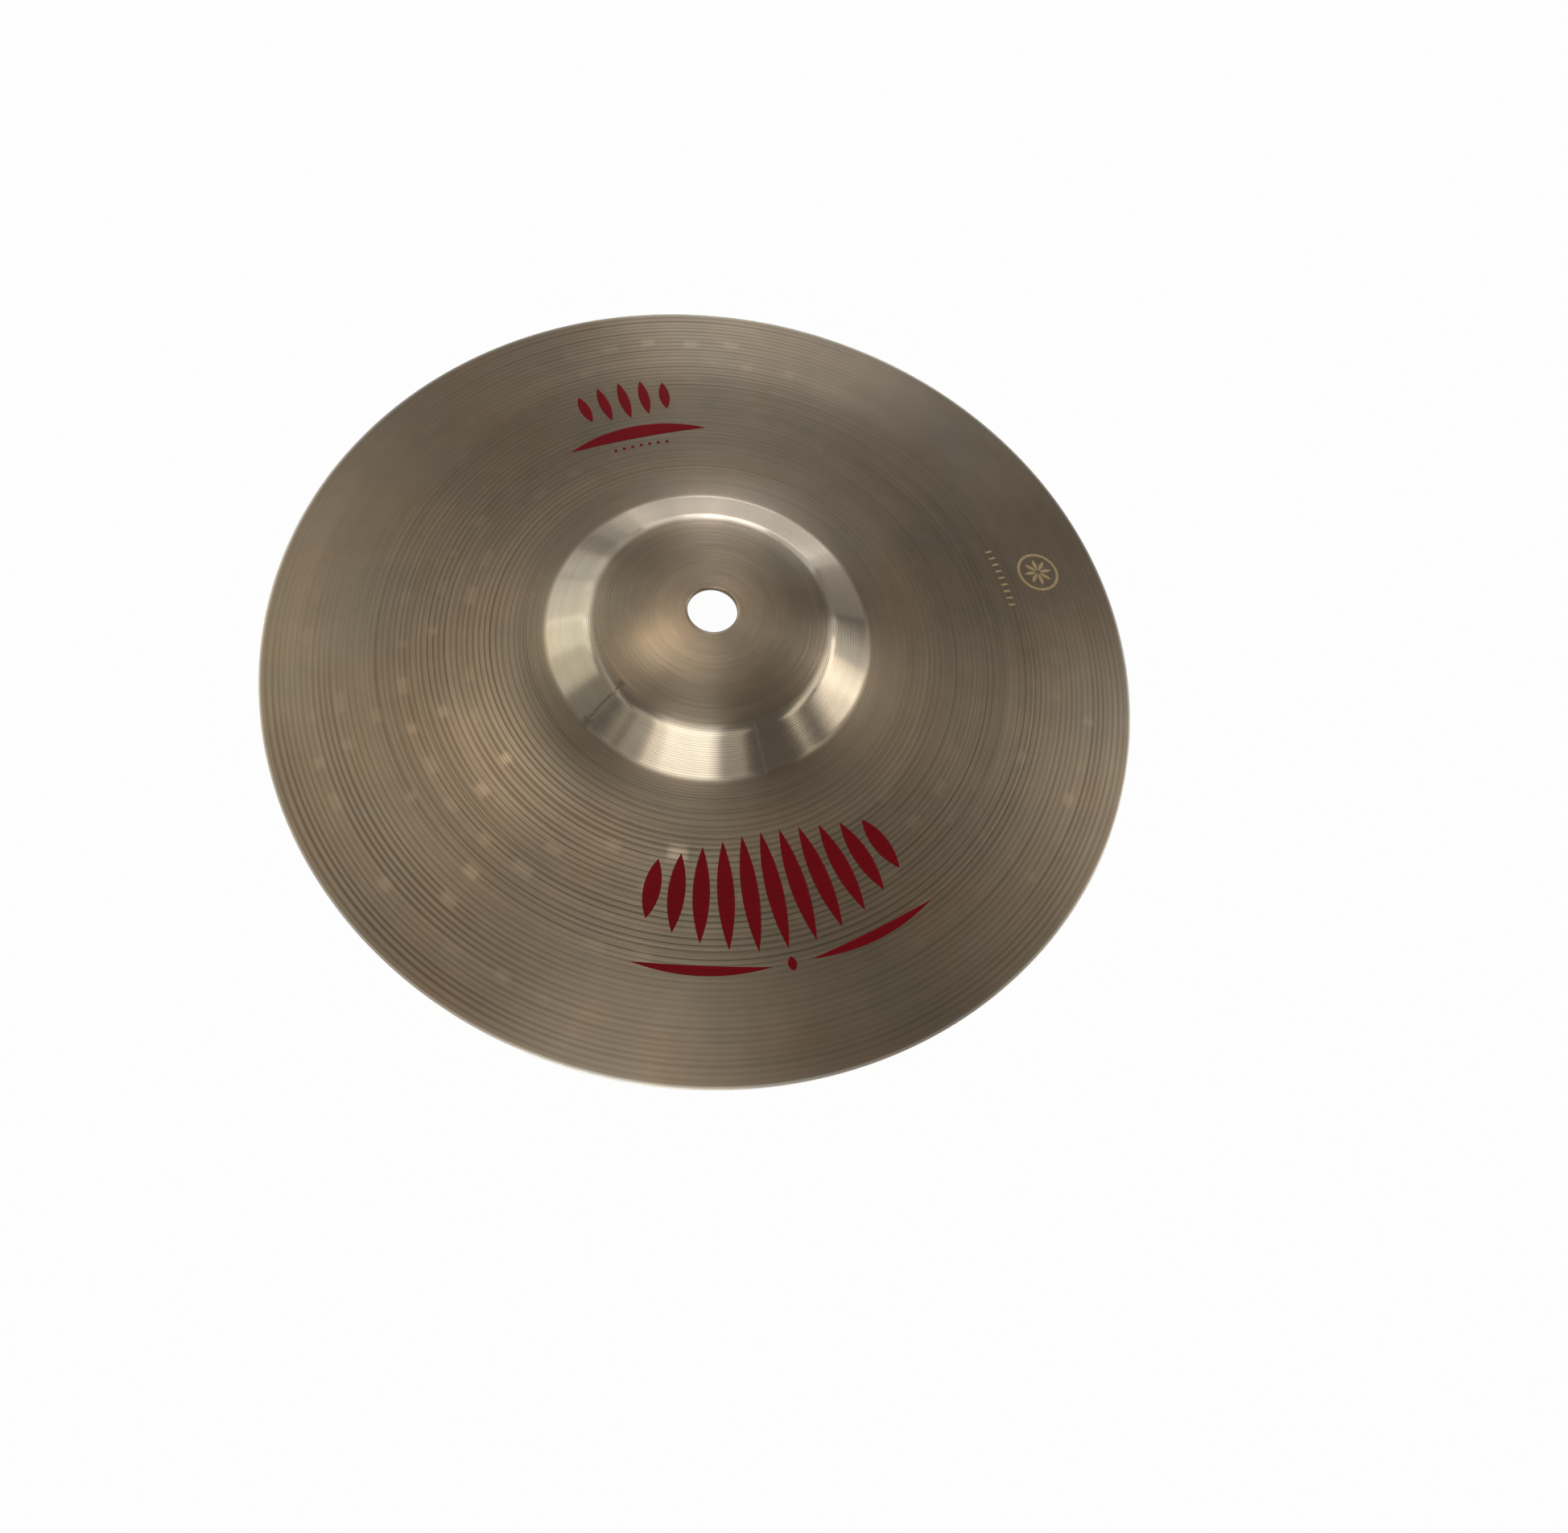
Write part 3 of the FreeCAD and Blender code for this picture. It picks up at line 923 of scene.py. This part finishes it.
    # What is too fine for the mesh is a height in metres
    height = fine * 0.000036
    for value, depth in ((turned, -0.000002), (grooves, -0.000006),
                         (lesser, -0.000018), (crown, 0.000026), (wear_and_light["Scratch"], -0.00003)):
        height = value.times_plus(depth, height)
    link(bump(height), shader.inputs["Normal"])
    return material


def ink_material(slot, colour):
    """Printed ink: an even half-gloss coat through which the lathe's rings show."""
    name = "printed_" + slot
    if name in bpy.data.materials:
        return bpy.data.materials[name]
    material, tree, shader = new_material(name)
    lathe, wear_and_light = place_group(tree, lathe_marks()), place_group(tree, wear_and_painted_light())
    shader.inputs["IOR"].default_value = 1.4
    shader.inputs["Specular IOR Level"].default_value = 0.15
    shade = swing(wear_and_light["Mottle"], 0.3) * swing(lathe["Fine rings"], 0.35)
    # Painted shade: the ink is darker over the grooves' valleys, most on the sides where the light shows them
    shade *= lathe["Grooves"].times_plus(-0.2, 1.0)
    link(vector_maths("SCALE", tuple(colour), shade), shader.inputs["Base Color"])
    link(swing(wear_and_light["Specks"], 0.4) * 0.42, shader.inputs["Roughness"])
    height = wear_and_light["Specks"].times_plus(0.000002, lathe["Fine rings"] * 0.000005)
    link(bump(height), shader.inputs["Normal"])
    return material


def floor_material():
    """A pale floor that the camera and the bronze see as white, with the disc's shadow kept faint."""
    material, tree, shader = new_material("pale_floor")
    shader.inputs["Base Color"].default_value = (0.86, 0.86, 0.86, 1)
    shader.inputs["Roughness"].default_value = 0.9
    glow = field(tree, "ShaderNodeEmission", {"Color": (1, 1, 1, 1), "Strength": 1.0})
    rays = fields(tree.nodes.new("ShaderNodeLightPath"))
    seen = maths("MAXIMUM", rays["Is Camera Ray"], rays["Is Glossy Ray"])
    seen = maths("MAXIMUM", seen, rays["Is Transmission Ray"])
    mix = field(tree, "ShaderNodeMixShader", {0: seen * 0.97, 1: Field(shader.outputs[0]), 2: glow})
    link(mix, tree.nodes["Material Output"].inputs["Surface"])
    return material


def print_ring(share):
    """The radius of a ring that lies this share of the way from the bell's foot to the rim."""
    foot = bpy.context.scene.cymbal_bronze.foot_diameter / 2
    return foot + share * (RIM_RADIUS - foot)


class CYMBAL_OT_bronze(bpy.types.Operator):
    """Make the bronze disc"""

    bl_idname = "cymbal.bronze"
    bl_label = "Bronze disc"

    def execute(self, context):
        bronze = context.scene.cymbal_bronze
        piece = bronze_disc(bronze, bronze_material(bronze))
        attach(piece, "root")
        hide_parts("cymbal_disc")
        return {"FINISHED"}


class CYMBAL_OT_front_print(bpy.types.Operator):
    """Make the large crimson print on the near side of the bow"""

    bl_idname = "cymbal.front_print"
    bl_label = "Front print"

    def execute(self, context):
        size = context.scene.cymbal_front_print
        radius = print_ring(size.place)
        ink_piece("front_fan_ink", "front_print_rays", fan(size, radius), (96, 8), "crimson_ink")
        outer = radius + (size.ray_length + size.arc_width) / 2 + size.arc_gap
        turn = (size.lozenge_width / 2 + size.lozenge_gap + size.arc_length / 2) / outer
        marks = [ray(outer, size.angle, size.lozenge_length, size.lozenge_width)]
        for angle in (size.angle - turn, size.angle + turn):
            marks.append(arc_line(outer, angle, size.arc_length, size.arc_width))
        ink_piece("front_arc_ink", "front_print_arcs", marks, (64, 10), "crimson_ink")
        return {"FINISHED"}


class CYMBAL_OT_rear_print(bpy.types.Operator):
    """Make the small crimson print on the far side of the bow"""

    bl_idname = "cymbal.rear_print"
    bl_label = "Rear print"

    def execute(self, context):
        size = context.scene.cymbal_rear_print
        radius = print_ring(size.place)
        outer = radius + (size.arc_width + size.ray_length) / 2 + size.ray_gap
        ink_piece("rear_fan_ink", "rear_print_rays", fan(size, outer), (56, 8), "crimson_ink")
        inner = radius - (size.arc_width + size.dot_diameter) / 2 - size.dot_gap
        marks = [arc_line(radius, size.angle, size.arc_length, size.arc_width)]
        for angle in row_angles(size.angle, inner, size.dots, size.dot_pitch):
            marks.append(round_dot(inner, angle, size.dot_diameter))
        ink_piece("rear_arc_ink", "rear_print_arcs", marks, (64, 16), "crimson_ink")
        return {"FINISHED"}


class CYMBAL_OT_edge_stamp(bpy.types.Operator):
    """Make the golden stamp near the rim"""

    bl_idname = "cymbal.edge_stamp"
    bl_label = "Edge stamp"

    def execute(self, context):
        size = context.scene.cymbal_stamp
        radius = print_ring(size.place)
        centre = plan_place(radius, size.angle)
        marks = [ring(radius, size.angle, size.diameter, size.line_width)]
        for number in range(size.leaves):
            turn = size.angle + number * TURN / size.leaves
            start = centre + plan_place(size.leaf_gap, turn)
            end = centre + plan_place(size.leaf_gap + size.leaf_length, turn)
            marks.append(leaf(start, end, size.leaf_width / 2, size.leaf_width / 2))
        ink_piece("seal_ink", "edge_stamp_seal", marks, (72, 4), "golden_ink")
        inner = radius - (size.diameter + size.tick_length) / 2 - size.tick_gap
        ticks = [ray(inner, angle, size.tick_length, size.tick_width)
                 for angle in row_angles(size.angle, inner, size.ticks, size.tick_pitch)]
        ink_piece("tick_ink", "edge_stamp_ticks", ticks, (20, 4), "golden_ink")
        return {"FINISHED"}


def aimed(place, target, roll=0.0):
    """The matrix of a camera or lamp at a place, looking at a target."""
    turn = (target - place).to_track_quat("-Z", "Y").to_matrix().to_4x4()
    return Matrix.Translation(place) @ turn @ Matrix.Rotation(roll, 4, "Z")


def direction_of(azimuth, elevation):
    """A direction from its azimuth round the disc and its elevation above the floor."""
    flat = math.cos(elevation)
    return Vector((math.cos(azimuth) * flat, math.sin(azimuth) * flat, math.sin(elevation)))


# The soft lamps of the studio: azimuth in degrees, 270 at the camera, and elevation in degrees,
# width and height seen from the disc in radians, and the colour they shine in. They were fitted to
# the bronze's tones in the photograph, and aren't the lamps of the real studio.
SOFT_LAMPS = (
    (89, 4, 0.29, 0.48, (1.62, 1.72, 1.90)),
    (173, 25, 0.51, 0.64, (0.76, 0.73, 0.62)),
    (272, 65, 0.39, 0.62, (0.99, 0.97, 0.93)),
    (269, 56, 0.56, 0.30, (1.33, 1.29, 1.23)),
    (29, 29, 0.52, 0.52, (0.80, 0.82, 0.83)),
    (123, 70, 0.50, 0.26, (1.42, 1.23, 1.03)),
    (99, 3, 0.52, 0.42, (0.86, 0.87, 0.93)),
    (16, 29, 0.68, 0.13, (2.31, 2.22, 2.08)),
    (270, 60, 1.00, 0.32, (0.59, 0.58, 0.55)),
    (156, 30, 0.51, 0.54, (0.67, 0.65, 0.58)),
    (97, 6, 0.17, 0.79, (1.13, 1.16, 1.20)),
    (144, 24, 0.50, 0.55, (0.58, 0.58, 0.57)),
    (10, 45, 0.68, 0.15, (1.39, 1.35, 1.23)),
    (75, 10, 0.43, 0.40, (0.62, 0.62, 0.61)),
    (64, 11, 0.68, 0.63, (0.23, 0.22, 0.22)),
    (175, 42, 0.88, 0.42, (0.24, 0.23, 0.20)),
    (121, 19, 0.67, 0.44, (0.25, 0.25, 0.25)),
    (105, 11, 0.67, 0.51, (0.19, 0.19, 0.19)),
    (85, 2, 0.67, 0.08, (1.09, 1.05, 1.13)),
    (186, 54, 0.94, 0.09, (0.69, 0.67, 0.59)),
    (123, 11, 0.77, 0.56, (0.13, 0.13, 0.12)),
    (77, 21, 0.47, 0.08, (0.71, 0.90, 1.07)),
    (92, 2, 1.00, 0.08, (0.38, 0.36, 0.33)),
    (21, 23, 0.21, 0.08, (1.69, 1.53, 1.30)),
)


class CYMBAL_OT_stage(bpy.types.Operator):
    """Make the floor, the lamps, the world and the camera"""

    bl_idname = "cymbal.stage"
    bl_label = "Stage"

    def execute(self, context):
        stage = context.scene.cymbal_stage
        scene = context.scene
        corners = [(x * FLOOR_REACH, y * FLOOR_REACH, 0) for x, y in ((-1, -1), (1, -1), (1, 1), (-1, 1))]
        floor = new_piece("floor", corners, (), [(0, 1, 2, 3)])
        floor.data.materials.append(floor_material())

        camera_side = math.radians(270) - stage.camera_azimuth
        target = Vector((0, 0, scene.cymbal_bronze.edge_thickness))
        place = target + direction_of(camera_side, stage.camera_elevation) * stage.camera_distance
        camera = bpy.data.objects.new("camera", bpy.data.cameras.new("camera"))
        scene.collection.objects.link(camera)
        camera.matrix_world = aimed(place, target, stage.camera_roll)
        camera.data.sensor_width = SENSOR_WIDTH
        camera.data.lens = SENSOR_WIDTH * stage.photo_focal_pixels / PHOTO_WIDTH
        camera.data.shift_x = (PHOTO_MIDDLE.x - AXIS_POINT.x) / PHOTO_WIDTH
        camera.data.shift_y = (AXIS_POINT.y - PHOTO_MIDDLE.y) / PHOTO_WIDTH
        camera.data.clip_start = 0.01
        scene.camera = camera
        scene.view_settings.view_transform = "Standard"

        for number, (azimuth, elevation, width, height, colour) in enumerate(SOFT_LAMPS, 1):
            data = bpy.data.lights.new("soft_lamp_%02d" % number, "AREA")
            data.shape = "RECTANGLE"
            data.size = width * LAMP_DISTANCE
            data.size_y = height * LAMP_DISTANCE
            level = max(colour)
            data.color = [part / level for part in colour]
            data.energy = level * math.pi * data.size * data.size_y
            lamp = bpy.data.objects.new(data.name, data)
            scene.collection.objects.link(lamp)
            away = direction_of(math.radians(azimuth) - stage.camera_azimuth, math.radians(elevation))
            lamp.matrix_world = aimed(away * LAMP_DISTANCE, Vector((0, 0, 0)))
            lamp.visible_camera = False

        world = bpy.data.worlds.new("studio")
        scene.world = world
        world.use_nodes = True
        tree = world.node_tree
        seen = field(tree, "ShaderNodeLightPath", output="Is Camera Ray")
        walls = field(tree, "ShaderNodeMix", {"Factor": seen, 6: (*stage.walls, 1), 7: (1, 1, 1, 1)},
                      output=2, data_type="RGBA")
        link(walls, tree.nodes["Background"].inputs["Color"])
        return {"FINISHED"}


class CYMBAL_PT_panel(bpy.types.Panel):
    """The cymbal's pieces and stage"""

    bl_idname = "CYMBAL_PT_panel"
    bl_label = "Splash cymbal"
    bl_space_type = "VIEW_3D"
    bl_region_type = "UI"
    bl_category = "Cymbal"

    def draw(self, context):
        scene = context.scene
        for settings, _, operator in SETTINGS:
            group = getattr(scene, settings)
            column = self.layout.column()
            for name in group.bl_rna.properties.keys():
                if name not in {"rna_type", "name"}:
                    column.prop(group, name)
            if operator:
                column.operator(operator.bl_idname)


# Each group of settings with its name in the scene and the operator that uses it
SETTINGS = (
    ("cymbal_bronze", CymbalBronze, CYMBAL_OT_bronze),
    ("cymbal_ink", CymbalInk, None),
    ("cymbal_front_print", CymbalFrontPrint, CYMBAL_OT_front_print),
    ("cymbal_rear_print", CymbalRearPrint, CYMBAL_OT_rear_print),
    ("cymbal_stamp", CymbalStamp, CYMBAL_OT_edge_stamp),
    ("cymbal_stage", CymbalStage, CYMBAL_OT_stage),
)
CLASSES = (*(group for _, group, _ in SETTINGS), *(operator for _, _, operator in SETTINGS if operator),
           CYMBAL_PT_panel)


def register():
    for item in CLASSES:
        bpy.utils.register_class(item)
    for name, group, _ in SETTINGS:
        setattr(bpy.types.Scene, name, PointerProperty(type=group))


def unregister():
    for name, _, _ in SETTINGS:
        delattr(bpy.types.Scene, name)
    for item in reversed(CLASSES):
        bpy.utils.unregister_class(item)


def main():
    register()
    bpy.ops.cymbal.bronze()
    bpy.ops.cymbal.front_print()
    bpy.ops.cymbal.rear_print()
    bpy.ops.cymbal.edge_stamp()
    bpy.ops.cymbal.stage()


if __name__ == "__main__":
    main()
